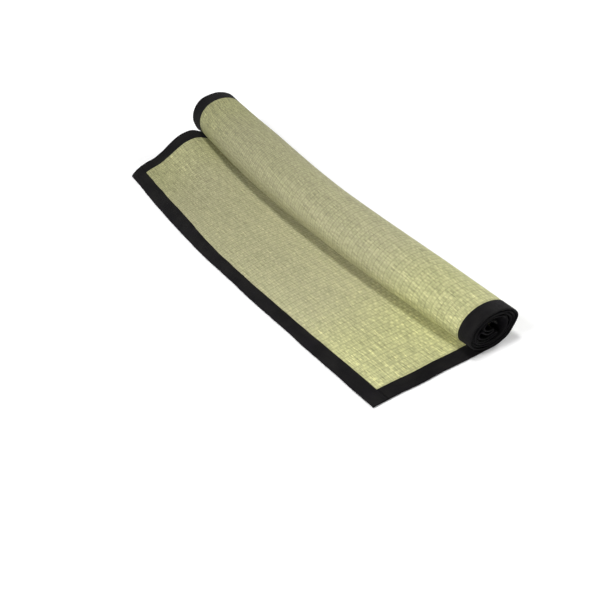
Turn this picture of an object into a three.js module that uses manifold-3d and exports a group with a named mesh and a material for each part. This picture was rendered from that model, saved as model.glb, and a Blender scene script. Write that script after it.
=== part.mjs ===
// A rush mat with folded cotton binding, laid flat for a short stretch and wound in a loose roll behind it.
// Millimetres. X runs across the mat along the roll, Y from the front edge to the roll, Z up from the floor.
import * as THREE from "three";
import { mergeVertices } from "three/addons/utils/BufferGeometryUtils.js";
import Module from "manifold-3d";

const { lerp, clamp, smoothstep, degToRad } = THREE.MathUtils;

// Driving dimensions.
const WIDTH = 900; // the mat's width, which is the roll's length
const CLOTH = 2.6; // thickness of the rush cloth
const TAPE = 0.7; // thickness of the cotton tape
const GAP = 0.3; // clearance between neighbouring pieces
const BINDING = 25; // width of tape that shows along an edge
const LEFT_BINDING = 30; // and along the left edge
const RISE = TAPE + GAP; // height of the cloth's underside inside a binding
const BOUND = CLOTH + 2 * RISE; // thickness of the mat at a binding
const SETTLE = 12; // the cloth comes down from a binding to the floor over this length

// The stretch laid flat.
const FRONT_BOW = 13; // the front edge bows forward by this at mid width
const SWELLS = [
  // and by these again about these stations
  { at: 0.36, spread: 0.28, out: 5.8 },
  { at: 1, spread: 0.2, out: 2 },
];
const WIDER = [
  // the front tape shows wider towards its ends: by how much, and the stations between which that grows
  { more: 8, gone: 0.52, full: 0.24 },
  { more: 2, gone: 0.7, full: 0.9 },
];
const LEFT_SLANT = 55; // the front left corner lies this far in from the roll's left end
const STRETCH = { most: 0.35, reach: 0.1 }; // share by which the mat is drawn out across at that corner
const RAMP_START = 0.35; // share of the flat stretch after which its left side rises to the roll
const HUMP = {
  // the cloth stands off the floor before the roll's left end, in shares of the flat stretch
  height: 29,
  start: 0.28,
  top: 0.66,
  fall: 0.7,
  end: 0.96,
  reach: 0.38, // share of the width over which it dies away
};

// The roll, by its sizes at the left end, mid length and right end.
const ROLL = {
  centre: { left: 235, middle: 210.5, right: 220 }, // distance behind the line through the front corners
  halfWidth: { left: 52.5, middle: 55.4, right: 47.5 },
  halfHeight: { left: 48.8, middle: 46.8, right: 36.5 },
};
const FLAT_SPOT = 1.2; // the roll's underside is pressed flat by this much
const LEFT_LIFT = 13; // the roll's left end stands this far off the floor
const LIFT_REACH = 0.45; // share of the width over which that lift dies away
const NIP = { flat: degToRad(20), hump: degToRad(50) }; // where the outer turn closes on the cloth
// Where the roll stands out from its oval: the place round it, from its underside backwards and up, and the
// stations between which the ridge grows to its height.
const RIDGES = [
  { turn: degToRad(112), spread: degToRad(42), height: 10, gone: 0.55, full: 0.2 },
  { turn: degToRad(115), spread: degToRad(38), height: 6.3, gone: 0.5, full: 0.9 },
  { turn: degToRad(99), spread: degToRad(14), height: 2.6, gone: 0.9, full: 1 },
  { turn: degToRad(50), spread: degToRad(20), height: 2.6, gone: 0.7, full: 1 },
];

// Fineness of the faceted surfaces.
const STEPS_ACROSS = 26;
const STEPS_BINDING = 2;
const STEPS_FLAT = 16; // from the front binding to the nip
const STEPS_UNDER = 4; // from the nip to the line under the roll's centre
const STEPS_ROUND = 46;

const COLOURS = { rush: 0xbdb98c, tape: 0x1d1c1e };

const wasm = await Module();
wasm.setup();

// u runs from 0 at the mat's left edge to 1 at its right edge, phi round the roll from its underside.

// A size given at the left end, mid length and right end, as a parabola through the three.
function across({ left, middle, right }, u) {
  return lerp(left, right, u) + (middle - (left + right) / 2) * 4 * u * (1 - u);
}

// 0 at one place and 1 at another, smoothly between, whichever comes first.
const grow = (value, gone, full) => smoothstep((value - gone) / (full - gone), 0, 1);

// How far the roll stands out from its oval.
function standOut(u, phi) {
  const heights = RIDGES.map(({ turn, spread, height, gone, full }) => {
    return height * grow(u, gone, full) * Math.exp(-(((phi - turn) / spread) ** 2));
  });
  return heights.reduce((sum, height) => sum + height, 0);
}

function frontEdge(u) {
  const swell = SWELLS.map(({ at, spread, out }) => out * Math.exp(-(((u - at) / spread) ** 2)));
  return swell.reduce((edge, out) => edge - out, -FRONT_BOW * 4 * u * (1 - u));
}

// Where the front tape's free edge lies.
function tapeEdge(u) {
  return WIDER.reduce((edge, { more, gone, full }) => edge + more * grow(u, gone, full), frontEdge(u) + BINDING);
}

const rollCentre = (u) => across(ROLL.centre, u);
const fade = (u, reach) => Math.max(0, 1 - u / reach) ** 2;
const leftLift = (u) => LEFT_LIFT * fade(u, LIFT_REACH);

// Share of the flat stretch that lies before a point: 0 at the front edge, 1 under the roll's centre.
function share(u, y) {
  return clamp((y - frontEdge(u)) / (rollCentre(u) - frontEdge(u)), 0, 1);
}

// Height of the mat's bound edges over the floor: none, but for the hump before the roll's left end and the
// ramp that rises to it.
function ground(u, y) {
  const along = share(u, y);
  const hump = smoothstep(along, HUMP.start, HUMP.top) * (1 - smoothstep(along, HUMP.fall, HUMP.end));
  return HUMP.height * fade(u, HUMP.reach) * hump + leftLift(u) * smoothstep(along, RAMP_START, 1);
}

// Height of the cloth over that: RISE inside a binding, nothing past SETTLE from it.
const fallFrom = (inward) => RISE * (1 - smoothstep(inward, 0, SETTLE));
const sideRise = (u) => fallFrom(Math.min(u * WIDTH - LEFT_BINDING, (1 - u) * WIDTH - BINDING));
const clothRise = (u, y) => Math.max(sideRise(u), fallFrom(y - tapeEdge(u)));
const noRise = () => 0;

function place(u, y, z) {
  const before = 1 - share(u, y);
  const left = -WIDTH / 2 + LEFT_SLANT * before ** 5;
  const drawn = u * (1 + STRETCH.most * before * Math.exp(-u / STRETCH.reach));
  return new THREE.Vector3(lerp(left, WIDTH / 2, drawn), y, z);
}

// A point of the outer turn: an oval pressed flat below, which draws in by one thickness over the turn, so
// that it closes on the cloth that it lies on.
function rollPoint(u, phi, rise, thickness) {
  const drawn = rise + (thickness * phi) / (2 * Math.PI);
  const halfWidth = across(ROLL.halfWidth, u);
  const halfHeight = across(ROLL.halfHeight, u);
  const out = standOut(u, phi) - drawn;
  const y = rollCentre(u) + (halfWidth + out) * Math.sin(phi);
  const z = halfHeight - FLAT_SPOT - (halfHeight + out) * Math.cos(phi);
  return place(u, y, leftLift(u) + Math.max(z, rise));
}

// The nip, where the outer turn closes on the cloth: its angle before a full turn, and its place.
const nipAngle = (u) => lerp(NIP.flat, NIP.hump, fade(u, HUMP.reach));
const nip = (u) => rollPoint(u, 2 * Math.PI - nipAngle(u), 0, BOUND).y;

const even = (start, end, steps) =>
  Array.from({ length: steps + 1 }, (_, i) => lerp(start, end, i / steps));

// Places at which every strip that lies flat bends: where the cloth leaves the front binding and settles, and
// even ones from there to the nip. Strips that run side by side share them, so they keep their clearance.
function bends(u) {
  const edge = tapeEdge(u);
  return [edge + GAP, edge + SETTLE / 2, ...even(edge + SETTLE, nip(u), STEPS_FLAT)];
}

// One run of a flat strip, backwards from yStart to yEnd, at a height over its underside.
function stripRun(u, yStart, yEnd, rise, height) {
  const between = bends(u).filter((y) => y > yStart && y < yEnd);
  return [yStart, ...between, yEnd].map((y) => place(u, y, ground(u, y) + rise(u, y) + height));
}

// Closed outline, at one station, of a flat strip.
function stripOutline(u, yStart, yEnd, rise, thickness) {
  const bottom = stripRun(u, yStart(u), yEnd(u), rise, 0);
  const top = stripRun(u, yStart(u), yEnd(u), rise, thickness);
  return [...bottom, ...top.reverse()];
}

// Closed outline, at one station, of the flat stretch and the roll that it goes into.
function matOutline(u, yStart, rise, sideLift, thickness) {
  const turn = even(0, 2 * Math.PI - nipAngle(u), STEPS_ROUND).map((phi) =>
    rollPoint(u, phi, sideLift, thickness),
  );
  const bottom = stripRun(u, yStart(u), nip(u), rise, 0);
  const under = even(nip(u), rollCentre(u), STEPS_UNDER)
    .slice(1, -1)
    .map((y) => place(u, y, ground(u, y) + rise(u, y)));
  const top = stripRun(u, yStart(u), nip(u), rise, thickness);
  return [...bottom, ...under, ...turn, ...top.reverse()];
}

// A closed solid through the outlines at the given stations, as a manifold. An outline has an even number of
// points, and each end is closed by rungs: from the first point to the last, from the second to the last but
// one, and so on.
function loft(stations, outlineAt) {
  const rings = stations.map(outlineAt);
  const count = rings[0].length;
  const last = (rings.length - 1) * count;
  const index = [];
  const quad = (a, b, c, d) => index.push(a, b, c, a, c, d);
  for (let start = 0; start < last; start += count) {
    for (let j = 0; j < count; j++) {
      const a = start + j;
      const b = start + ((j + 1) % count);
      quad(a, b, b + count, a + count);
    }
  }
  for (let j = 0; j < count / 2 - 1; j++) {
    const [a, b, c, d] = [j, j + 1, count - 2 - j, count - 1 - j];
    quad(a, d, c, b);
    quad(last + a, last + b, last + c, last + d);
  }
  return solidOf(new THREE.BufferGeometry().setFromPoints(rings.flat()).setIndex(index));
}

function solidOf(geometry) {
  const merged = mergeVertices(geometry, 1e-4);
  return new wasm.Manifold(
    new wasm.Mesh({
      numProp: 3,
      vertProperties: new Float32Array(merged.attributes.position.array),
      triVerts: new Uint32Array(merged.index.array),
    }),
  );
}

function meshOf(name, solid, material) {
  const { vertProperties, triVerts } = solid.getMesh();
  const geometry = new THREE.BufferGeometry()
    .setAttribute("position", new THREE.BufferAttribute(vertProperties, 3))
    .setIndex(new THREE.BufferAttribute(triVerts, 1));
  const mesh = new THREE.Mesh(geometry, material);
  mesh.name = name;
  return mesh;
}

// Lines across the mat.
const behindFront = (distance) => (u) => frontEdge(u) + distance;
const behindTape = (distance) => (u) => tapeEdge(u) + distance;
const tongueEnd = (clearance) => (u) => bends(u).at(-2) + clearance;

// Stations at a distance in from the mat's left edge, or from its right edge.
const fromLeft = (distance) => distance / WIDTH;
const fromRight = (distance) => 1 - distance / WIDTH;

// The cloth, cut back from the wound turns of the side tapes: a tongue of it goes into each side binding.
function rushCloth() {
  const leftInner = LEFT_BINDING + GAP;
  const inner = BINDING + GAP;
  const stations = [
    fromLeft(RISE),
    fromLeft(leftInner),
    fromLeft(leftInner + SETTLE / 2),
    ...even(fromLeft(leftInner + SETTLE), fromRight(inner + SETTLE), STEPS_ACROSS),
    fromRight(inner + SETTLE / 2),
    fromRight(inner),
    fromRight(RISE),
  ];
  const whole = loft(stations, (u) =>
    matOutline(u, behindFront(RISE), clothRise, sideRise(u), CLOTH),
  );
  const woundEnd = (start, end) => loft(even(start, end, STEPS_BINDING), clearOfTongue);
  return whole
    .subtract(woundEnd(fromLeft(-BINDING), fromLeft(leftInner)))
    .subtract(woundEnd(fromRight(inner), fromRight(-BINDING)));
}

// Outline of a block that holds the wound turns, and leaves the cloth before them as far as the tongue's end.
function clearOfTongue(u) {
  const reach = 2 * ROLL.halfWidth.middle;
  const high = 4 * ROLL.halfHeight.middle;
  const near = tongueEnd(0)(u);
  const before = rollCentre(u) - reach;
  const behind = rollCentre(u) + reach;
  const step = Math.max(...bends(u).map((y) => ground(u, y))) + BOUND;
  return [
    [before, step],
    [near, step],
    [near, -high],
    [behind, -high],
    [behind, high],
    [before, high],
  ].map(([y, z]) => place(u, y, z));
}

// The space that the cloth takes in a folded tape, with its clearance.
function slot(stations, yStart, yEnd) {
  return loft(stations, (u) => stripOutline(u, yStart, yEnd, () => TAPE, CLOTH + 2 * GAP));
}

// The front tape runs whole through both corners, closed at its ends.
function frontBinding() {
  const folded = loft(even(0, 1, STEPS_ACROSS), (u) =>
    stripOutline(u, frontEdge, tapeEdge, noRise, BOUND),
  );
  const inside = even(fromLeft(TAPE), fromRight(TAPE), STEPS_ACROSS);
  return folded.subtract(slot(inside, behindFront(TAPE), behindTape(SETTLE)));
}

// A side tape starts at the front tape, and its wound turns are one solid slice at the roll's end. The
// stations run from the mat's edge inwards for the left tape, and outwards for the right one.
function sideBinding([start, end], [slotStart, slotEnd]) {
  const folded = loft(even(start, end, STEPS_BINDING), (u) =>
    matOutline(u, behindTape(GAP), noRise, 0, BOUND),
  );
  const inside = even(slotStart, slotEnd, STEPS_BINDING);
  return folded.subtract(slot(inside, frontEdge, tongueEnd(GAP)));
}

const leftBinding = () =>
  sideBinding([0, fromLeft(LEFT_BINDING)], [fromLeft(TAPE), fromLeft(LEFT_BINDING + SETTLE)]);
const rightBinding = () =>
  sideBinding([fromRight(BINDING), 1], [fromRight(BINDING + SETTLE), fromRight(TAPE)]);

const rush = new THREE.MeshStandardMaterial({ color: COLOURS.rush, roughness: 0.75, metalness: 0 });
const tape = new THREE.MeshStandardMaterial({ color: COLOURS.tape, roughness: 0.9, metalness: 0 });

const mat = new THREE.Group();
mat.add(
  meshOf("rush_cloth", rushCloth(), rush),
  meshOf("binding_front", frontBinding(), tape),
  meshOf("binding_left", leftBinding(), tape),
  meshOf("binding_right", rightBinding(), tape),
);

// The origin is under the middle of the mat's box.
mat.position.y = -new THREE.Box3().setFromObject(mat).getCenter(new THREE.Vector3()).y;

export default mat;
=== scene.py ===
"""A woven rush mat bound in black cotton tape. Its front end lies flat, and the rest is wound in one loose
roll behind. X runs across the mat along the roll, Y from the front edge to the roll and Z up from the floor.
The cloth and its tapes are made on one curve, the mat's underside, which section() works out. A station is a
place across the mat, 0 at its left edge and 1 at its right one."""

import math

import bpy
import numpy as np
from mathutils import Matrix, Vector


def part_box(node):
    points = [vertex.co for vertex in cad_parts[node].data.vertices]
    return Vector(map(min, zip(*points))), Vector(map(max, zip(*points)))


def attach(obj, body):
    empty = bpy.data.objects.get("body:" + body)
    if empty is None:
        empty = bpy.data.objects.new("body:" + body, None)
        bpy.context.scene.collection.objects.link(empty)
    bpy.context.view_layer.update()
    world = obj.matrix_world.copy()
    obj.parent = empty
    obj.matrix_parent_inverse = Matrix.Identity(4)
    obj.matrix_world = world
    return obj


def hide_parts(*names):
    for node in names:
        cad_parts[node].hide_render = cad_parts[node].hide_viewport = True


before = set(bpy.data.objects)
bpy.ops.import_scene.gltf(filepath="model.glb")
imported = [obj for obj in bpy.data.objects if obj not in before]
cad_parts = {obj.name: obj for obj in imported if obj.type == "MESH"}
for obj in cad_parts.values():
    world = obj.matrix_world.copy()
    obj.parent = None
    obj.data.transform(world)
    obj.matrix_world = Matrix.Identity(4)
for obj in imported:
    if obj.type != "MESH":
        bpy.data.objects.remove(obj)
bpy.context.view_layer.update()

MM = 0.001
TAU = 2 * math.pi

# ---------------------------------------------------------------- sizes, in metres

LENGTH = 1.28  # of the mat, from its front edge to its end inside the roll
CLOTH, TAPE = 2.2 * MM, 0.45 * MM  # thicknesses
BOUND = CLOTH + 2 * TAPE  # the cloth between the two layers of its tape
BINDING = 25 * MM  # width of tape that shows along an edge
LEFT_MORE = 5 * MM  # the left edge's tape is wider by this
SEAM = 0.12 * MM  # between an end tape and the side tapes that butt against it
CLEAR = 0.3 * MM  # between the sheet and the outer turn that closes on it
SETTLE = 12 * MM  # the cloth comes down beside a tape over this width
SQUEEZE, SQUEEZE_FADE = 0.5 * MM, 5 * MM  # the cloth is thinner by this above and below inside a tape

FRONT_BOW = 13 * MM  # the front edge bulges by this midway
SWELLS = [(0.36, 0.28, 5.8 * MM), (1, 0.2, 2 * MM)]  # of the front edge: stations, spreads, distances
WIDER = [(8 * MM, 0.52, 0.24), (2 * MM, 0.7, 0.9)]  # the front tape, by this, between these stations
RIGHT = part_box("binding_right")[1].x
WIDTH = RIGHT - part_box("binding_left")[0].x
LEFT_SLANT, SLANT_CURVE = 55 * MM, 5  # the front left corner lies this far in, most of it near the corner
STRETCH, STRETCH_REACH = 0.35, 0.1  # share by which the mat is drawn out across at that corner
RAMP_START = 0.35  # share of the flat stretch after which its left side rises to the roll
HUMP_HEIGHT, HUMP_REACH = 29 * MM, 0.38  # the sheet stands off the floor before the roll's left end
HUMP_RISE, HUMP_FALL = (0.28, 0.66), (0.7, 0.98)  # in shares of the flat stretch

# The roll's outer form at its left end, middle and right end.
CENTRE = (235 * MM, 210.5 * MM, 220 * MM)  # behind the front corners
HALF_WIDTH = (52.5 * MM, 55.4 * MM, 47.5 * MM)
HALF_HEIGHT = (48.8 * MM, 46.8 * MM, 36.5 * MM)
FLAT_SPOT = 1.2 * MM  # its underside is pressed flat by this
LEFT_LIFT, LIFT_REACH = 13 * MM, 0.45  # its left end is off the floor by this, and down at that station
# Ridges on that oval: the place round it from its underside backwards and up, the spread, the height, and the
# stations between which the ridge grows to that.
RIDGES = [
    (math.radians(112), math.radians(42), 10 * MM, 0.55, 0.2),
    (math.radians(115), math.radians(38), 6.3 * MM, 0.5, 0.9),
    (math.radians(99), math.radians(14), 2.6 * MM, 0.9, 1),
    (math.radians(50), math.radians(20), 2.6 * MM, 0.7, 1),
]
RIDGE_TURNS = 8  # the ridges die away over this many turns
FLARE, FLARE_LENGTH = 5.5 * MM, 14 * MM  # the bound edge stands out from the roll's front at its left end

# The turns inside it. The outer one comes in by FIRST_TURN, and each later one by a pitch for each side.
FIRST_TURN = 4.6 * MM
PITCH = {  # at the left end and the right end
    "bottom": (5.4 * MM, 4.3 * MM),
    "back": (5.8 * MM, 4.0 * MM),
    "top": (5.4 * MM, 3.6 * MM),
    "front": (5.8 * MM, 4.7 * MM),
}
CLEAN_TURNS = 3  # before the crumpled end of the mat
TAIL_TURNS = 4  # more than the end of the mat fills
CRUMPLE_START, CRUMPLE_FULL = 0.82, 0.97  # stations between which the crumpling sets in
SINK = 2.4 * MM  # of the inner turns into the roll's right end

# The crumpled end of the mat at the roll's right end, from the axis of the roll, in millimetres.
CRUMPLE = [  # back, up
    (0, -23.3), (13, -22), (24.5, -17.4), (31.4, -8.5), (34, 1), (32.4, 10), (26, 17), (15, 20.8),
    (2, 21.6), (-10, 19.6), (-20, 14.8), (-27.6, 8), (-30.8, 0), (-28.6, -8), (-22, -14.4), (-13, -18),
    (-2, -19.4), (9, -17.8), (15.4, -14.6), (16.6, -11), (12.6, -8.8), (4, -10.4), (-5, -11.6),
    (-14, -9.8), (-20.4, -5.6), (-22.8, -1), (-20.4, 2.4), (-16.4, 1.2), (-12.6, -3.2), (-7, -6.8),
    (0, -7.4), (6.4, -5.4), (7.6, -1.4), (3.4, 0.8), (-2.6, 0.8), (-8, 3.2), (-11.8, 7),
    (-10.4, 11.4), (-5, 14.6), (2, 14.2), (8, 10.8), (10.4, 6),
]

# How uneven the mat lies.
WAVE, WAVE_SIZE, WAVE_FADE = 1.1 * MM, 120 * MM, 0.3  # of the flat stretch, less in its last 0.3
DENT, DENT_GROWN = 0.6 * MM, 0.2  # of the roll's outer form, from this turn on
WOBBLE = 0.36  # share of the gap to the next turn that a turn strays
WOBBLE_GROWS = (0.9, 1.6)  # the turns between which that sets in
FLARE_GROWS = (0.04, 0.7)  # the height up the roll, in half heights, over which the flare sets in
EDGE_WAVE, EDGE_WAVE_SIZE = 0.8 * MM, 45 * MM  # of the outer edges
SLIP, SLIP_SIZE = 0.7 * MM, 60 * MM  # of the turns along the roll
RAGGED, RAGGED_SIZE = 0.02, 32 * MM  # of the tapes' free edges, as a share of their width
PUCKER, PUCKER_SIZE = 0.16 * MM, 11 * MM  # of the tapes

# Waves round the roll: their share of the whole, how many there are in a turn, their phase at the left end
# and how it changes along the roll.
WOBBLE_WAVES = [(0.5, 3.37, 2, 9), (0.3, 7.61, 1, 0), (0.2, 12.3, 0, 0)]
DENT_WAVES = [(0.5, 2, 0, 7), (0.3, 3, 1, -11), (0.2, 5, 0, 19)]
FLARE_WAVES = [(0.15, 3.3, 1, 0), (0.1, 7.2, 0, 0)]

ROLLED = 0.24  # along the mat, where the roll starts
ON_FLOOR, ROUNDING = 80, 0.3 * MM  # points of the spiral near the floor, which stay above it, and how softly

# Fineness of the curves and meshes.
LATTICE = 128  # lumps of the noise before it repeats
CURVE_STEPS = 12  # between two points of a curve
TURN_STEP = 1 / 320
TAIL_STEPS = 1400
BOUND_STEP, SETTLE_STEP = 6 * MM, 3 * MM  # of the cloth inside its tapes and just beside them
ACROSS_STEP = 6.7 * MM
LOOSE_STEP, TIGHT_STEP = 5.5 * MM, 2.2 * MM  # along the mat, before and after the turns get tight
TIGHT = 0.95  # along the mat, where they do
SIDE_TAPE_STEP, END_TAPE_STEP = 1.6 * MM, 3 * MM
FOLD_STEPS = 8  # round a tape's fold
TUCK_STEP = BOUND / 12  # towards a corner
SHARP = math.radians(50)  # an edge that bends by more isn't drawn smooth


# ---------------------------------------------------------------- the mat's underside


def smooth(x, start, end):
    t = np.clip((x - start) / (end - start), 0, 1)
    return t * t * (3 - 2 * t)


def between(low, high, place):
    return low + (high - low) * place


def across(sizes, u):
    """A size at station u, from those at the left end, the middle and the right end."""
    left, middle, right = sizes
    return left + (right - left) * u + (middle - (left + right) / 2) * 4 * u * (1 - u)


def uneven(a, b, size, seed):
    """Smooth noise from -1 to 1 over two lengths, in lumps about as wide as size."""
    lattice = np.random.default_rng(seed).uniform(-1, 1, (LATTICE, LATTICE))
    a, b = np.broadcast_arrays(np.asarray(a) / size, np.asarray(b) / size)
    i, j = np.floor(a).astype(int), np.floor(b).astype(int)
    f, g = smooth(a - i, 0, 1), smooth(b - j, 0, 1)
    i, j, next_i, next_j = (k % LATTICE for k in (i, j, i + 1, j + 1))
    low = lattice[i, j] * (1 - f) + lattice[next_i, j] * f
    high = lattice[i, next_j] * (1 - f) + lattice[next_i, next_j] * f
    return low * (1 - g) + high * g


def waves(table, phi, u):
    """All the waves of a table at places round the roll, at station u."""
    return sum(part * np.sin(number * phi + start + drift * u) for part, number, start, drift in table)


def front_reach(u):
    """How far the front edge lies before the line through the front corners."""
    swells = sum(out * np.exp(-(((u - at) / spread) ** 2)) for at, spread, out in SWELLS)
    return FRONT_BOW * 4 * u * (1 - u) + swells


STATIONS = np.linspace(0, 1, 901)
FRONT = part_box("binding_front")[0].y + front_reach(STATIONS).max()  # Y of that line


def front_edge(u):
    return FRONT - front_reach(u)


def front_more(u):
    """How much wider the front tape shows than BINDING."""
    return sum(more * smooth(u, gone, full) for more, gone, full in WIDER)


def roll_centre(u):
    return FRONT + across(CENTRE, u)


def fade(u, reach):
    """1 at the left edge, down to 0 at the station reach."""
    return np.maximum(0, 1 - u / reach) ** 2


def left_lift(u):
    return LEFT_LIFT * fade(u, LIFT_REACH)


def share(u, y):
    """Share of the flat stretch before a point: 0 at the front edge, 1 under the roll's axis."""
    return np.clip((y - front_edge(u)) / (roll_centre(u) - front_edge(u)), 0, 1)


def distances(points):
    return np.concatenate([[0], np.cumsum(np.hypot(*np.diff(points, axis=0).T))])


def at_distances(points, wanted):
    along = distances(points)
    return np.stack([np.interp(wanted, along, column) for column in points.T], axis=1)


def curve_through(points):
    """A Catmull-Rom curve through these points, finely spaced."""
    p = np.array(points)
    p = np.vstack([2 * p[0] - p[1], p, 2 * p[-1] - p[-2]])
    t = np.linspace(0, 1, CURVE_STEPS, endpoint=False)[:, None]
    pieces = [
        0.5 * (2 * b + (c - a) * t + (2 * a - 5 * b + 4 * c - d) * t**2 + (3 * b - a - 3 * c + d) * t**3)
        for a, b, c, d in zip(p, p[1:], p[2:], p[3:])
    ]
    return np.vstack([*pieces, p[-2:-1]])


def flare(u):
    """How far the mat's left edge stands out from the roll's front at station u."""
    return FLARE * np.exp(-u * WIDTH / FLARE_LENGTH)


def spiral(u, start_turn, end_turn):
    """The wound mat's underside at station u, as (back, up) from the roll's axis, between two turns."""
    turn = np.arange(start_turn, end_turn, TURN_STEP)
    phi = turn * TAU  # from the roll's underside, backwards and up
    later = np.maximum(turn - 1, 0)
    depth, stray = {}, {}
    for side, (left, right) in PITCH.items():
        pitch = between(left, right, u)
        depth[side] = FIRST_TURN * np.minimum(turn, 1) + pitch * later
        stray[side] = WOBBLE * (pitch - BOUND)
    sideways = (depth["back"] + depth["front"]) / 2 + (depth["back"] - depth["front"]) / 2 * np.sin(phi)
    upright = (depth["top"] + depth["bottom"]) / 2 + (depth["bottom"] - depth["top"]) / 2 * np.cos(phi)
    reach = sum(stray.values()) / len(stray) * smooth(turn, *WOBBLE_GROWS)
    dent = DENT * smooth(turn, 0, DENT_GROWN)
    ridges = sum(
        height * smooth(u, gone, full) * np.exp(-(((phi % TAU - place) / spread) ** 2))
        for place, spread, height, gone, full in RIDGES
    )
    flared = flare(u) * smooth(1 - np.cos(phi), *FLARE_GROWS) * (1 - np.sin(phi)) / 2  # most at the front
    out = reach * waves(WOBBLE_WAVES, phi, u) + dent * waves(DENT_WAVES, phi, u)
    out += flared * (1 + waves(FLARE_WAVES, phi, u)) + ridges * np.maximum(0, 1 - turn / RIDGE_TURNS)
    back = (across(HALF_WIDTH, u) - sideways + out) * np.sin(phi)
    up = -(across(HALF_HEIGHT, u) - upright + out) * np.cos(phi)
    return np.stack([back, up], axis=1)


def flat_stretch(u):
    """The underside at station u, as (y, z), from the front edge to the line under the roll's axis."""
    y = np.arange(front_edge(u), roll_centre(u), MM)
    along = share(u, y)
    ramp = left_lift(u) * smooth(along, RAMP_START, 1)
    hump = HUMP_HEIGHT * fade(u, HUMP_REACH) * smooth(along, *HUMP_RISE) * (1 - smooth(along, *HUMP_FALL))
    wave = WAVE / 2 * (1 + uneven(u * WIDTH, y, WAVE_SIZE, 11)) * smooth(1 - along, 0, WAVE_FADE)
    return np.stack([y, np.minimum(ramp + hump + wave, under_roll(u, y))], axis=1)


def under_roll(u, y):
    """How high the underside can lie below the outer turn, which closes on the sheet there."""
    half_width, half_height = across(HALF_WIDTH, u) - FIRST_TURN, across(HALF_HEIGHT, u)
    beside = np.minimum((roll_centre(u) - y) / half_width, 1)
    half_turn = half_height - FIRST_TURN + flare(u) * beside**2
    turn = half_height - FLAT_SPOT - half_turn * np.sqrt(1 - beside**2)
    return left_lift(u) + turn - BOUND - CLEAR


def as_far_as_tail(u):
    """The underside at station u as far as the clean turns go, and the place of the roll's axis."""
    axis = across(HALF_HEIGHT, u) - FLAT_SPOT
    wound = spiral(u, 0, CLEAN_TURNS)
    height = wound[:ON_FLOOR, 1] + axis
    wound[:ON_FLOOR, 1] = (height + np.hypot(height, ROUNDING)) / 2 - axis
    seat = np.array([roll_centre(u), left_lift(u) + axis])
    return np.vstack([flat_stretch(u), wound + seat]), seat


def tail(u, length):
    """The underside after the clean turns, as turns of the same kind, from the roll's axis."""
    plain = spiral(u, CLEAN_TURNS, CLEAN_TURNS + TAIL_TURNS)
    return at_distances(plain, np.linspace(0, length, TAIL_STEPS))


def crumpled(u):
    """The crumpled end of the mat, scaled so that it starts where the clean turns end."""
    curve = curve_through(np.array(CRUMPLE) * MM)
    start = spiral(u, CLEAN_TURNS, CLEAN_TURNS + 1)[0]
    return at_distances(curve, np.linspace(0, distances(curve)[-1], TAIL_STEPS)) * (start[1] / curve[0, 1])


def section(u):
    """The mat's underside at station u: finely spaced points (y, z) from the front edge to the end inside the
    roll, and their distances along the mat."""
    before, seat = as_far_as_tail(u)
    along = distances(before)
    end = tail(u, LENGTH - along[-1])
    end = end + smooth(u, CRUMPLE_START, CRUMPLE_FULL) * (crumpled(u) - end) + seat
    return np.vstack([before, end[1:]]), np.append(along, np.linspace(along[-1], LENGTH, TAIL_STEPS)[1:])


def surface(stations, along):
    """Points of the mat's underside, one row for each station, and the directions in which its thickness
    lies. The distances along the mat are one list for all the stations or one for each."""
    stations = np.asarray(stations, float)
    along = np.broadcast_to(along, (len(stations), np.shape(along)[-1]))
    points = np.empty((*along.shape, 3))
    normals = np.zeros_like(points)
    for i, (u, wanted) in enumerate(zip(stations, along)):
        fine, distance = section(u)
        y, z = (np.interp(wanted, distance, column) for column in fine.T)
        ahead = [np.interp(wanted + MM, distance, column) for column in fine.T]
        behind = [np.interp(wanted - MM, distance, column) for column in fine.T]
        dy, dz = ahead[0] - behind[0], ahead[1] - behind[1]
        before = 1 - share(u, y)
        left = -WIDTH / 2 + LEFT_SLANT * before**SLANT_CURVE
        stretched = u * (1 + STRETCH * before * math.exp(-u / STRETCH_REACH))
        points[i] = np.stack([between(left, WIDTH / 2, stretched), y, z], axis=1)
        normals[i, :, 1:] = np.stack([-dz, dy], axis=1) / np.hypot(dy, dz)[:, None]
    u, s = stations[:, None], along
    points[:, :, 0] += EDGE_WAVE * uneven(s, 0, EDGE_WAVE_SIZE, 21) * np.exp(-u * WIDTH / EDGE_WAVE_SIZE)
    points[:, :, 0] += EDGE_WAVE * uneven(s, 0, EDGE_WAVE_SIZE, 22) * np.exp((u - 1) * WIDTH / EDGE_WAVE_SIZE)
    points[:, :, 1] += EDGE_WAVE * uneven(u * WIDTH, 0, EDGE_WAVE_SIZE, 23) * np.exp(-s / EDGE_WAVE_SIZE)
    points[:, :, 0] += SLIP * uneven(s, 0, SLIP_SIZE, 24) * smooth(s, ROLLED, ROLLED + SLIP_SIZE)
    points[:, :, 0] -= SINK * smooth(s, ROLLED, LENGTH)
    return points, normals


# ---------------------------------------------------------------- meshes


def steps(*stops):
    """Rising places: each stop is a place and the step up to it, which the first one has no use for."""
    places = [stops[0][0]]
    for (start, _), (end, step) in zip(stops, stops[1:]):
        count = max(1, round((end - start) / step))
        places += list(start + (end - start) * np.arange(1, count + 1) / count)
    return np.array(places)


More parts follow.
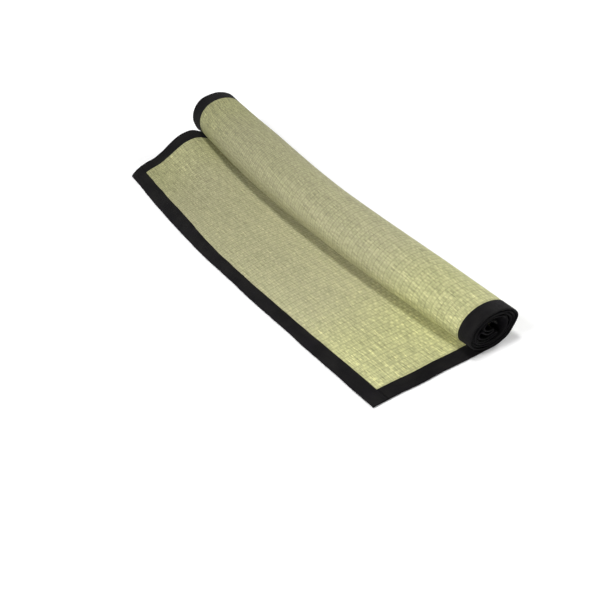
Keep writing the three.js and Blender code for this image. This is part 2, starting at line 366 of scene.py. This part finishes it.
def closed_sheet(name, front, back, uv, back_uv=None, bake_uv=None):
    """A closed mesh between two grids of points, with rims round their edges. The front faces along the cross
    product of its rows' and its columns' directions. uv holds metres down and along the grids."""
    rows, columns = front.shape[:2]
    count = rows * columns
    index = np.arange(count).reshape(rows, columns)
    quads = np.stack([index[:-1, :-1], index[1:, :-1], index[1:, 1:], index[:-1, 1:]], axis=-1).reshape(-1, 4)
    border = np.concatenate([index[0, :], index[1:, -1], index[-1, -2::-1], index[-2:0:-1, 0]])
    after = np.roll(border, -1)
    rim = np.stack([border, after, after + count, border + count], axis=1)
    faces = np.vstack([quads, quads[:, ::-1] + count, rim])
    mesh = bpy.data.meshes.new(name)
    mesh.from_pydata(np.vstack([front.reshape(-1, 3), back.reshape(-1, 3)]), [], faces.tolist())
    both = np.vstack([uv.reshape(-1, 2), (uv if back_uv is None else back_uv).reshape(-1, 2)])
    layers = {"metres": both[faces.reshape(-1)]}
    if bake_uv is not None:
        layers["OFBake"] = bake_uv(faces, len(quads))
    for layer, corners in layers.items():
        mesh.uv_layers.new(name=layer).data.foreach_set("uv", corners.astype(np.float32).reshape(-1))
    mesh.polygons.foreach_set("use_smooth", np.ones(len(faces), bool))
    mesh.set_sharp_from_angle(angle=SHARP)
    mesh.update()
    piece = bpy.data.objects.new(name, mesh)
    bpy.context.scene.collection.objects.link(piece)
    return piece


FOLD = BOUND / 2  # radius of a tape's fold round the mat's edge
TUCKED = 0.15  # share of a tape's thickness that stays at the corners
TAPE_POINTS = np.array([1, 0.96, 0.84, 0.68, 0.5, 0.32, 0.16])  # from a tape's free edge towards its fold
BACK = 2 * WIDTH  # the cloth's underside has this added to its places across the mat

# Bands up the cloth's baked picture for its top and its underside: from and to which place along the mat each
# goes, and from and to which height. Most of it is for what shows, the flat stretch's top and the outer turn.
BAKED_TOP = [(0, 0.25, 0, 0.42), (0.25, LENGTH, 0.975, 0.995)]
BAKED_UNDER = [(0, 0.2, 0.935, 0.945), (0.2, 0.6, 0.43, 0.93), (0.6, LENGTH, 0.95, 0.97)]
BAKED_ACROSS, BAKED_RIM = (0.004, 0.989), (0.994, 0.999)


def near_edge(binding):
    """Places from an edge inwards, as far as the cloth settles and close together at its tape's free edge."""
    return steps((FOLD, 0), (binding - MM, BOUND_STEP), (binding + MM, MM), (binding + SETTLE, SETTLE_STEP))


def both_edges(length, first, last, *middle):
    """Places along a length, close together near its two edges, which have tapes of these widths."""
    start, end = near_edge(first), near_edge(last)
    return np.concatenate([start[:-1], steps((start[-1], 0), *middle), (length - end[::-1])[1:]])


def make_cloth():
    """The woven cloth, as far as the folds of its tapes. Its front grid is the side that faces up where it
    lies flat."""
    inside = BINDING + SETTLE
    wide = both_edges(WIDTH, BINDING + LEFT_MORE, BINDING, (WIDTH - inside, ACROSS_STEP))
    along = both_edges(LENGTH, BINDING, BINDING, (TIGHT, LOOSE_STEP), (LENGTH - inside, TIGHT_STEP))
    base, normals = surface(wide / WIDTH, along)
    from_sides = np.minimum(wide - LEFT_MORE, WIDTH - wide)[:, None]
    from_ends = np.minimum(along[None, :] - front_more(wide / WIDTH)[:, None], LENGTH - along)
    inward = np.minimum(from_sides, from_ends)
    rise = (TAPE * (1 - smooth(inward, BINDING, BINDING + SETTLE)))[:, :, None]
    thin = (SQUEEZE * (1 - smooth(inward, BINDING - SQUEEZE_FADE, BINDING - MM)))[:, :, None]
    uv = np.stack(np.meshgrid(wide, along, indexing="ij"), axis=-1)
    count = len(wide) * len(along)

    def bake_uv(faces, sheet_faces):
        """Where each face's corners lie in the cloth's baked picture, the rims in a strip at its side."""
        station, s = wide[faces % count // len(along)] / WIDTH, along[faces % len(along)]
        middle = s.mean(axis=1)[:, None]
        lines = np.array([0, *along[1:-1], LENGTH])

        def bands(table):
            """How high in the picture the corners lie. Each band starts and ends at a line of the mesh."""
            v = np.zeros_like(s)
            for first, last, low, high in table:
                first, last = lines[np.searchsorted(lines, (first, last))]
                v = np.where(middle > first, between(low, high, (s - first) / (last - first)), v)
            return v

        order = np.arange(len(faces))[:, None]
        on_rim = order >= 2 * sheet_faces
        left, right = BAKED_RIM
        u = np.where(on_rim, np.array([left, left, right, right]), between(*BAKED_ACROSS, station))
        v = np.where(order < sheet_faces, bands(BAKED_TOP), bands(BAKED_UNDER))
        rim_v = (order - 2 * sheet_faces + np.array([0, 0.5, 0.5, 0])) / (len(faces) - 2 * sheet_faces)
        return np.stack([u, np.where(on_rim, rim_v, v)], axis=-1)

    top, under = base + normals * (rise + CLOTH - thin), base + normals * (rise + thin)
    return closed_sheet("woven_rush", top, under, uv, uv + (BACK, 0), bake_uv)


def tape_profile(radius, width):
    """One side of a tape in section, from its free edge below, round the mat's edge, to its free edge above:
    how far in it is, a row for each width if there are several, how high, and the way out of it there."""
    run = between(FOLD, np.asarray(width)[..., None], TAPE_POINTS)
    angle = np.linspace(-TAU / 4, TAU / 4, FOLD_STEPS + 1)
    fold = np.broadcast_to(FOLD - radius * np.cos(angle), (*run.shape[:-1], len(angle)))
    inward = np.concatenate([run, fold, run[..., ::-1]], axis=-1)
    level = np.ones(len(TAPE_POINTS))
    height = FOLD + radius * np.concatenate([-level, np.sin(angle), level])
    flat = np.stack([0 * level, level], axis=1)
    way = np.concatenate([-flat, np.stack([-np.cos(angle), np.sin(angle)], axis=1), flat])
    return inward, height, way


def girth(width):
    """Distances round a tape from its one free edge, of which the last is its whole width laid out."""
    return distances(np.stack(tape_profile(FOLD, width)[:2], axis=1))


def make_tape(name, edge, seed):
    """A tape folded round one edge of the mat. Those at the front and inner ends run from corner to corner,
    and those at the left and right butt against them."""
    sideways = edge in ("left", "right")
    if sideways:
        first = BINDING + front_more(0 if edge == "left" else 1) + SEAM
        run = steps((first, 0), (LENGTH - BINDING - SEAM, SIDE_TAPE_STEP))
        free = 1
    else:
        run = steps((0, 0), (FOLD, TUCK_STEP), (WIDTH - FOLD, END_TAPE_STEP), (WIDTH, TUCK_STEP))
        from_side = np.minimum(run, WIDTH - run)
        free = smooth(from_side, BINDING + LEFT_MORE, 2 * BINDING)  # straight by the side tapes
    ragged = RAGGED * uneven(run, 0, RAGGED_SIZE, seed) * free
    more = {"left": LEFT_MORE, "front": front_more(run / WIDTH)}.get(edge, 0)
    sheets = []
    for radius in (FOLD, FOLD - TAPE):
        inward, height, way = tape_profile(radius, BINDING + more)
        if sideways:
            station = inward / WIDTH if edge == "left" else 1 - inward / WIDTH
            base, normals = surface(station, run)
            towards = np.array([1, 0, 0]) if edge == "left" else np.array([-1, 0, 0])
        else:
            base, normals = surface(run / WIDTH, inward if edge == "front" else LENGTH - inward)
            base, normals = base.swapaxes(0, 1), normals.swapaxes(0, 1)
            towards = np.cross([1, 0, 0], normals) * (-1 if edge == "front" else 1)
            tucked = np.clip(from_side / FOLD, 0, 1)
            height = FOLD + (height - FOLD)[:, None] * np.maximum(TUCKED, np.sqrt(1 - (1 - tucked) ** 2))
        inward = inward.T.reshape(len(way), -1)
        pucker = PUCKER * uneven(run, inward, PUCKER_SIZE, seed + 1)
        pucker = pucker + PUCKER / 2 * uneven(run, inward, PUCKER_SIZE / 3, seed + 2)
        lift = np.broadcast_to(height.T, (len(run), len(way))).T + pucker * way[:, 1:]
        spread = (inward - FOLD).clip(0) * ragged + pucker * way[:, :1]
        sheets.append(base + normals * lift[:, :, None] + towards * spread[:, :, None])
    round_edge = girth(BINDING + (LEFT_MORE if edge == "left" else 0))
    from_free_edge = np.minimum(round_edge, round_edge[-1] - round_edge)
    uv = np.stack(np.meshgrid(from_free_edge, run - run[0], indexing="ij"), axis=-1)
    if edge in ("right", "front"):
        sheets, uv = [sheet[:, ::-1] for sheet in sheets], uv[:, ::-1]
    return closed_sheet(name, *sheets, uv)


# ---------------------------------------------------------------- materials


class Field:
    """A number that varies over a surface. Arithmetic on it adds Math nodes to its material."""

    def __init__(self, tree, socket):
        self.tree, self.socket = tree, socket

    def math(self, operation, *others):
        node = self.tree.nodes.new("ShaderNodeMath")
        node.operation = operation
        for slot, value in zip(node.inputs, (self, *others)):
            if isinstance(value, Field):
                self.tree.links.new(value.socket, slot)
            else:
                slot.default_value = value
        return Field(self.tree, node.outputs[0])

    def __add__(self, other):
        return self.math("ADD", other)

    def __sub__(self, other):
        return self.math("SUBTRACT", other)

    def __mul__(self, other):
        return self.math("MULTIPLY", other)

    def __rsub__(self, other):
        return (self * -1) + other

    __radd__, __rmul__ = __add__, __mul__

    def floor(self):
        return self.math("FLOOR")

    def fraction(self):
        return self.math("FRACT")

    def ramp(self, low, high):
        """0 below low and 1 above high, smoothly between."""
        node = self.tree.nodes.new("ShaderNodeMapRange")
        node.interpolation_type = "SMOOTHSTEP"
        self.tree.links.new(self.socket, node.inputs["Value"])
        node.inputs["From Min"].default_value, node.inputs["From Max"].default_value = low, high
        return Field(self.tree, node.outputs["Result"])


class Finish:
    """A material with one Principled shader, and what its patterns are made from."""

    def __init__(self, name, **settings):
        self.material = bpy.data.materials.new(name)
        self.material.use_nodes = True
        self.tree = self.material.node_tree
        self.shader = self.tree.nodes["Principled BSDF"]
        for socket, value in settings.items():
            self.shader.inputs[socket.replace("_", " ")].default_value = value
        uv = self.tree.nodes.new("ShaderNodeUVMap")
        uv.uv_map = "metres"
        parts = self.tree.nodes.new("ShaderNodeSeparateXYZ")
        self.tree.links.new(uv.outputs[0], parts.inputs[0])
        self.x, self.y = (Field(self.tree, parts.outputs[k]) for k in (0, 1))

    def place(self, x, y, z=0.0):
        node = self.tree.nodes.new("ShaderNodeCombineXYZ")
        for slot, value in zip(node.inputs, (x, y, z)):
            if isinstance(value, Field):
                self.tree.links.new(value.socket, slot)
            else:
                slot.default_value = value
        return node.outputs[0]

    def noise(self, size, detail=2.0, stretch=(1, 1), seed=0.0):
        """Smooth noise from 0 to 1, its lumps about as wide as size, in metres."""
        node = self.tree.nodes.new("ShaderNodeTexNoise")
        node.inputs["Scale"].default_value = 1 / size
        node.inputs["Detail"].default_value = detail
        place = self.place(self.x * (1 / stretch[0]), self.y * (1 / stretch[1]), seed)
        self.tree.links.new(place, node.inputs["Vector"])
        return Field(self.tree, node.outputs[0])

    def chance(self, x, y=0.0, z=0.0):
        """A random number from 0 to 1 for each whole x, y and z."""
        node = self.tree.nodes.new("ShaderNodeTexWhiteNoise")
        self.tree.links.new(self.place(x, y, z), node.inputs["Vector"])
        return Field(self.tree, node.outputs["Value"])

    def blend(self, share, first, second):
        """A colour between two, each a colour or another blend."""
        node = self.tree.nodes.new("ShaderNodeMix")
        node.data_type = "RGBA"
        self.tree.links.new(share.socket, node.inputs[0])
        for slot, value in ((node.inputs[6], first), (node.inputs[7], second)):
            if isinstance(value, tuple):
                slot.default_value = (*value, 1)
            else:
                self.tree.links.new(value, slot)
        return node.outputs[2]

    def shade(self, colour, amount):
        """The colour, darkened or lightened by an amount."""
        node = self.tree.nodes.new("ShaderNodeVectorMath")
        node.operation = "SCALE"
        self.tree.links.new(colour, node.inputs[0])
        self.tree.links.new(amount.socket, node.inputs["Scale"])
        return node.outputs[0]

    def finish(self, colour, roughness, height):
        """height is in metres over the surface."""
        bump = self.tree.nodes.new("ShaderNodeBump")
        bump.inputs["Distance"].default_value = 1.0
        self.tree.links.new(height.socket, bump.inputs["Height"])
        self.tree.links.new(colour, self.shader.inputs["Base Color"])
        self.tree.links.new(roughness.socket, self.shader.inputs["Roughness"])
        self.tree.links.new(bump.outputs[0], self.shader.inputs["Normal"])
        return self.material


def srgb(*channels):
    """The linear colour that shows as these numbers from 0 to 255."""
    shares = [channel / 255 for channel in channels]
    return tuple(c / 12.92 if c <= 0.04045 else ((c + 0.055) / 1.055) ** 2.4 for c in shares)


# How the rush is woven.
COLUMN = WIDTH / 132  # between two warp threads, of which every second one shows more
STALK = 2.0 * MM  # between two stalks that show in one column; the next column shows those between them
STALK_STRAY, STALK_STRAY_SIZE = 1.6 * MM, 35 * MM  # how far stalks stray from straight
THREAD_STRAY, THREAD_STRAY_SIZE = 1.6 * MM, 60 * MM  # and warp threads
STRAND_STRAY, STRAND_LENGTH = 1.4 * MM, 50 * MM  # where a strand dives under a thread varies by this
STALK_LENGTH, STALK_STARTS = 170 * MM, 7  # a stalk keeps its colour this far, and its start is by chance
BLUNT = 2.6  # how flat a stalk is on top
DIVE = 1.8 * MM  # beside a thread, the stalk comes up over this
THREAD = (0.4 * MM, 1.3 * MM)  # from a thread's middle: as far as its painted shade is full, and where that has faded
THREAD_SHOWS = (0.5, 1)  # between these shares, by chance, on each stalk
FAINTER = 0.65  # every second thread shows less by this
STREAK = 0.8 * MM  # width of the fine streaks along the stalks
FIBRE, FLECK = 34, 12  # how many times as long as wide they are

# How it is coloured.
DRY, FRESH, GREEN, PALE = srgb(184, 180, 143), srgb(191, 190, 138), srgb(166, 171, 122), srgb(212, 209, 156)
GREEN_SHARE = 0.3  # most that a stalk takes of that colour
# How much fresher the stalks are near the side edges, at the right, and in patches of this size.
FRESH_BY_EDGE, FRESH_BY_RIGHT, FRESH_BY_CHANCE, FRESH_PATCH = 0.65, 0.6, 0.6, 160 * MM
EDGE = (20 * MM, 260 * MM)  # how far from a side edge the stalks are fresh, and where that has faded
TO_RIGHT = (0.45, 0.92)  # places across the mat between which they get fresher
PALE_BY = {"tone": 0.3, "dash": 0.1, "fibre": 0.6, "fleck": 0.2}  # how much each pattern makes a place pale
PALE_FROM = 0.62  # of their sum
PALE_SHARE = (0.25, 0.53)  # where the stalks are dry and where they are fresh
SHADE_BY = {"tone": 0.18, "dash": 0.12, "fibre": 1.1, "fleck": 0.3}  # how much each changes its shade
CONTRAST = (1.2, 1.7)  # of that, mid mat and at the side edges
BRIGHT = 1.05  # shade of a middling stalk
GROOVE_PAINTED_SHADE, CREST_PAINTED_LIGHT = 0.74, 1.08  # painted shade between two stalks and painted light on top of one
DIVE_PAINTED_SHADE = 0.93  # painted shade of a stalk right beside a thread, where it dives under it
THREAD_PAINTED_SHADE = (0.3, 0.26)  # how much painted shade darkens the cloth along a thread, at the left and at the right
DULL = 0.2  # the cloth's underside is darker by this
RIGHT_FRESH_AND_PAINTED_LIGHT = 0.4  # the cloth's right edge is lighter than its left one by this, partly fresher rush and partly painted light
RUSH_ROUGH, RUSH_ROUGH_SIZE = (0.55, 0.75), 8 * MM
STALK_HIGH, DIVE_DEEP, DASH_HIGH, THREAD_DEEP = 0.22 * MM, 0.12 * MM, 0.03 * MM, 0.06 * MM

# The tapes.
BLACK, FADED, VIOLET = srgb(17, 16, 18), srgb(29, 28, 28), srgb(26, 23, 30)
RIB = 0.55 * MM  # between two threads
RIB_SHADE, RIB_HIGH = 0.12, 0.05 * MM
PATCH, PATCH_EDGES = 16 * MM, (0.3, 0.75)  # of faded colour: their size, and where in the noise they set in
VIOLET_PATCH, VIOLET_EDGES, VIOLET_SHARE = 30 * MM, (0.5, 0.8), 0.4
JOINT, JOINT_PAINTED_SHADE = (0.5 * MM, 3 * MM), 0.7  # a tape's start, where it butts against another, is darker with painted shade that fades between these distances
STITCH, STITCH_ROW = 3.6 * MM, 2.2 * MM  # length of a stitch, and how far in from a tape's free edge it is
STITCH_SIDE, STITCH_END = (0.1 * MM, 0.35 * MM), (0.36, 0.44)  # where its thread ends, sideways and along
STITCH_SHADE, STITCH_HIGH = 0.35, 0.3 * MM
PUFF, PUFF_WIDTH = 0.2 * MM, 1.5 * MM  # the tape rises beside its stitches
CREASES, CREASE_SIZE = 0.25 * MM, 5 * MM
COTTON_ROUGH = (0.8, 0.92)


def rush():
    """Rush stalks across the mat. Each goes over one column and under the next, so it shows as a dash in
    every other column, and the columns meet at the thin warp threads. Stalks differ a little in colour, and
    there are more fresh, yellow-green ones near the side edges and to the right. Shade between the stalks,
    beside and along the threads is painted, with painted light on the stalks' tops, and part of the
    lightening to the right is painted light."""
    m = Finish("rush", Specular_IOR_Level=0.3)
    side = m.x.math("GREATER_THAN", (WIDTH + BACK) / 2)  # 1 on the cloth's underside
    m.x = m.x - side * BACK

    stalk = (m.y + (m.noise(STALK_STRAY_SIZE, 2, stretch=(4, 1), seed=7) - 0.5) * STALK_STRAY) * (1 / STALK)
    strand = m.chance((stalk * 2).floor(), (m.x * (1 / STRAND_LENGTH)).floor(), 4.0)  # two to a stalk
    column = m.x + (m.noise(THREAD_STRAY_SIZE, 1, seed=3) - 0.5) * THREAD_STRAY + strand * STRAND_STRAY
    column = column * (1 / COLUMN)
    number = column.floor()
    thread = (column + 0.5).floor()  # the nearest warp thread
    beside = column.fraction()
    odd = (number * 0.5).fraction() * 2
    stalk = stalk + odd * 0.5
    same = stalk.floor() * 2 - odd  # numbers each stalk along the mat, whichever column it shows in
    round_stalk = 1 - (stalk.fraction() * 2 - 1).math("ABSOLUTE").math("POWER", BLUNT)
    from_thread = beside.math("MINIMUM", 1 - beside) * COLUMN
    # where a stalk comes up beside a thread: sets its bump, and the painted shade right beside the thread
    dive = from_thread.ramp(0, DIVE)
    strong = 1 - (thread * 0.5).fraction() * (2 * FAINTER)
    # painted shade along each warp thread, where the stalks dive under it; the same mask sinks the bump there
    painted_thread_shade = (1 - from_thread.ramp(*THREAD)) * between(*THREAD_SHOWS, m.chance(same, thread, 6.0)) * strong

    length = (m.x * (1 / STALK_LENGTH) + m.chance(same, 5.0) * STALK_STARTS).floor()
    patterns = {
        "tone": m.chance(same, length, 1.0),
        "dash": m.chance(same, number, 2.0),
        "fibre": m.noise(STREAK, 1, stretch=(FIBRE, 1), seed=19),
        "fleck": m.noise(STREAK, 1, stretch=(FLECK, 1), seed=23),
    }
    green = m.chance(same, length, 3.0)
    near_edges = 1 - (m.x.math("MINIMUM", WIDTH - m.x)).ramp(*EDGE)
    to_right = m.x.ramp(*TO_RIGHT)
    by_chance = (m.noise(FRESH_PATCH, 3, stretch=(2, 1), seed=11) - 0.5) * FRESH_BY_CHANCE
    fresh = (near_edges * FRESH_BY_EDGE + to_right * FRESH_BY_RIGHT + by_chance).ramp(0, 1)
    pale = sum(patterns[name] * part for name, part in PALE_BY.items()).ramp(PALE_FROM, 1)
    colour = m.blend(fresh, DRY, FRESH)
    colour = m.blend(green * GREEN_SHARE, colour, GREEN)
    colour = m.blend(pale * between(*PALE_SHARE, fresh), colour, PALE)

    vary = sum((patterns[name] - 0.5) * part for name, part in SHADE_BY.items())
    # painted shade between the stalks and beside the threads, painted light on the stalks' tops
    shade = between(GROOVE_PAINTED_SHADE, CREST_PAINTED_LIGHT, round_stalk) * between(DIVE_PAINTED_SHADE, 1, dive)
    # painted shade along the warp threads
    shade = shade * (1 - painted_thread_shade * between(*THREAD_PAINTED_SHADE, to_right))
    shade = shade * (BRIGHT + vary * between(*CONTRAST, near_edges)) * (1 - DULL * side)
    # lighter towards the right edge: partly fresher rush, partly painted light
    shade = shade * between(1 - RIGHT_FRESH_AND_PAINTED_LIGHT / 2, 1 + RIGHT_FRESH_AND_PAINTED_LIGHT / 2, m.x * (1 / WIDTH))
    height = round_stalk * STALK_HIGH + dive * DIVE_DEEP + patterns["dash"] * DASH_HIGH - painted_thread_shade * THREAD_DEEP
    rough = between(*RUSH_ROUGH, m.noise(RUSH_ROUGH_SIZE, 2, stretch=(3, 1), seed=13))
    return m.finish(m.shade(colour, shade), rough, height)


def cotton():
    """Matt black cotton tape, a fine plain weave, a little faded in soft patches, stitched near its free
    edges, and darker at its start with painted shade where it butts against another tape."""
    m = Finish("cotton_tape", Specular_IOR_Level=0.08, Sheen_Weight=0.04, Sheen_Roughness=0.5)
    ribs = (m.x * (TAU / RIB)).math("SINE") * (m.y * (TAU / RIB)).math("SINE")
    patches = m.noise(PATCH, 3, stretch=(1, 2), seed=5).ramp(*PATCH_EDGES)
    from_row = (m.x - STITCH_ROW).math("ABSOLUTE")
    along = ((m.y * (1 / STITCH)).fraction() - 0.5).math("ABSOLUTE")
    stitch = (1 - from_row.ramp(*STITCH_SIDE)) * (1 - along.ramp(*STITCH_END))
    # painted shade at the tape's start, where it butts against another tape
    joint_painted_shade = 1 - m.y.ramp(*JOINT)
    colour = m.blend(patches, BLACK, FADED)
    colour = m.blend(m.noise(VIOLET_PATCH, 1, seed=17).ramp(*VIOLET_EDGES) * VIOLET_SHARE, colour, VIOLET)
    shade = (1 + RIB_SHADE * ribs + STITCH_SHADE * stitch) * (1 - JOINT_PAINTED_SHADE * joint_painted_shade)
    height = ribs * RIB_HIGH + m.noise(CREASE_SIZE, 3, seed=9) * CREASES
    height = height + stitch * STITCH_HIGH + from_row.ramp(0, PUFF_WIDTH) * PUFF
    return m.finish(m.shade(colour, shade), between(*COTTON_ROUGH, patches), height)


# ---------------------------------------------------------------- the mat

RUSH, COTTON = rush(), cotton()
cloth = make_cloth()
tape_front = make_tape("tape_front", "front", 31)
tape_left = make_tape("tape_left", "left", 41)
tape_right = make_tape("tape_right", "right", 51)
tape_inner = make_tape("tape_inner", "inner", 61)
tapes = [tape_front, tape_left, tape_right, tape_inner]

for piece, material, slot in [(cloth, RUSH, "rush")] + [(tape, COTTON, "binding") for tape in tapes]:
    piece.data.materials.append(material)
    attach(piece, "root")
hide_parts("rush_cloth")
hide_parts("binding_front")
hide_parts("binding_left")
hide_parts("binding_right")

for tape in (tape_front, tape_inner):
    girth(BINDING)[-1]
for tape, width, u in ((tape_left, BINDING + LEFT_MORE, 0), (tape_right, BINDING, 1)):
    length = LENGTH - 2 * (BINDING + SEAM) - front_more(u)  # between the tapes at the ends
    girth(width)[-1]

# ---------------------------------------------------------------- the room

LENS, SENSOR = 46.8, 36  # millimetres
CAMERA_AIM = Vector((0.179, FRONT + 0.053, 0))
CAMERA_SIDE, CAMERA_AWAY, CAMERA_ROLL = (58.13, 37.07), 1.2996, -2.2  # azimuth and elevation, metres, degrees
WORLD_STRENGTH = 0.03
LAMPS = [  # name, azimuth, elevation, distance, diameter, watts
    ("overhead", 0, 83, 3, 0.7, 46),
    ("front", 5, 45, 3, 0.8, 40),
    ("low", 30, 10, 3, 1.2, 26),
    ("behind", 178, 22, 3, 1.2, 60),
]
FLOOR_HALF, FLOOR_Z = 6, -0.4 * MM  # just below the mat
FLOOR_COLOUR, FLOOR_ROUGH = (0.86, 0.86, 0.86), 0.9
GLOW_NEAR, GLOW_FAR = (0.5, 0.22), (1.6, 0.7)  # distance from the mat's middle, and the floor's glow there


def look_from(place, target, roll=0.0):
    """A rotation that looks from one point to another, turned about its line of sight."""
    back = (place - target).normalized()
    right = Vector((0, 0, 1)).cross(back).normalized()
    up = back.cross(right)
    tilt = math.radians(roll)
    x_axis = math.cos(tilt) * right + math.sin(tilt) * up
    y_axis = math.cos(tilt) * up - math.sin(tilt) * right
    return Matrix.Translation(place) @ Matrix((x_axis, y_axis, back)).transposed().to_4x4()


def direction(azimuth, elevation):
    """Towards a place round the mat, by degrees from straight in front towards its right end, and up."""
    azimuth, elevation = math.radians(azimuth), math.radians(elevation)
    sideways = math.cos(elevation)
    return Vector((math.sin(azimuth) * sideways, -math.cos(azimuth) * sideways, math.sin(elevation)))


def add_camera():
    camera = bpy.data.objects.new("camera", bpy.data.cameras.new("camera"))
    camera.data.lens, camera.data.sensor_width = LENS, SENSOR
    place = CAMERA_AIM + direction(*CAMERA_SIDE) * CAMERA_AWAY
    camera.matrix_world = look_from(place, CAMERA_AIM, CAMERA_ROLL)
    bpy.context.scene.collection.objects.link(camera)
    bpy.context.scene.camera = camera


def add_lamp(name, azimuth, elevation, distance, size, watts):
    light = bpy.data.lights.new(name, "AREA")
    light.shape, light.size, light.energy = "DISK", size, watts
    lamp = bpy.data.objects.new(name, light)
    lamp.matrix_world = look_from(direction(azimuth, elevation) * distance, Vector((0, 0, 0)))
    bpy.context.scene.collection.objects.link(lamp)


def add_world(strength):
    """Plain white light from all round, and plain white to look at."""
    world = bpy.data.worlds.new("room")
    world.use_nodes = True
    bpy.context.scene.world = world
    tree = world.node_tree
    light, seen = tree.nodes["Background"], tree.nodes.new("ShaderNodeBackground")
    light.inputs["Color"].default_value = seen.inputs["Color"].default_value = (1, 1, 1, 1)
    light.inputs["Strength"].default_value = strength
    path, mix = tree.nodes.new("ShaderNodeLightPath"), tree.nodes.new("ShaderNodeMixShader")
    tree.links.new(path.outputs["Is Camera Ray"], mix.inputs[0])
    tree.links.new(light.outputs[0], mix.inputs[1])
    tree.links.new(seen.outputs[0], mix.inputs[2])
    tree.links.new(mix.outputs[0], tree.nodes["World Output"].inputs[0])


def add_floor():
    """A pale floor that shows white to the camera, apart from the mat's shadow."""
    mesh = bpy.data.meshes.new("floor")
    corners = [(x * FLOOR_HALF, y * FLOOR_HALF, FLOOR_Z) for x, y in ((-1, -1), (1, -1), (1, 1), (-1, 1))]
    mesh.from_pydata(corners, [], [(0, 1, 2, 3)])
    floor = bpy.data.objects.new("floor", mesh)
    bpy.context.scene.collection.objects.link(floor)
    material = bpy.data.materials.new("floor")
    material.use_nodes = True
    tree = material.node_tree
    shader = tree.nodes["Principled BSDF"]
    shader.inputs["Base Color"].default_value = (*FLOOR_COLOUR, 1)
    shader.inputs["Roughness"].default_value = FLOOR_ROUGH
    shader.inputs["Specular IOR Level"].default_value = 0
    path = tree.nodes.new("ShaderNodeLightPath")
    glow, add = tree.nodes.new("ShaderNodeEmission"), tree.nodes.new("ShaderNodeAddShader")
    place, away = tree.nodes.new("ShaderNodeTexCoord"), tree.nodes.new("ShaderNodeVectorMath")
    away.operation = "LENGTH"
    tree.links.new(place.outputs["Object"], away.inputs[0])
    grows = tree.nodes.new("ShaderNodeMapRange")
    grows.interpolation_type = "SMOOTHSTEP"
    for end, distance, strength in (("Min", *GLOW_NEAR), ("Max", *GLOW_FAR)):
        grows.inputs[f"From {end}"].default_value = distance
        grows.inputs[f"To {end}"].default_value = strength
    tree.links.new(away.outputs["Value"], grows.inputs["Value"])
    seen = tree.nodes.new("ShaderNodeMath")
    seen.operation = "MULTIPLY"
    tree.links.new(path.outputs["Is Camera Ray"], seen.inputs[0])
    tree.links.new(grows.outputs["Result"], seen.inputs[1])
    tree.links.new(seen.outputs[0], glow.inputs["Strength"])
    tree.links.new(shader.outputs[0], add.inputs[0])
    tree.links.new(glow.outputs[0], add.inputs[1])
    tree.links.new(add.outputs[0], tree.nodes["Material Output"].inputs[0])
    mesh.materials.append(material)


add_camera()
add_world(WORLD_STRENGTH)
for lamp in LAMPS:
    add_lamp(*lamp)
add_floor()
bpy.context.scene.view_settings.view_transform = "Standard"
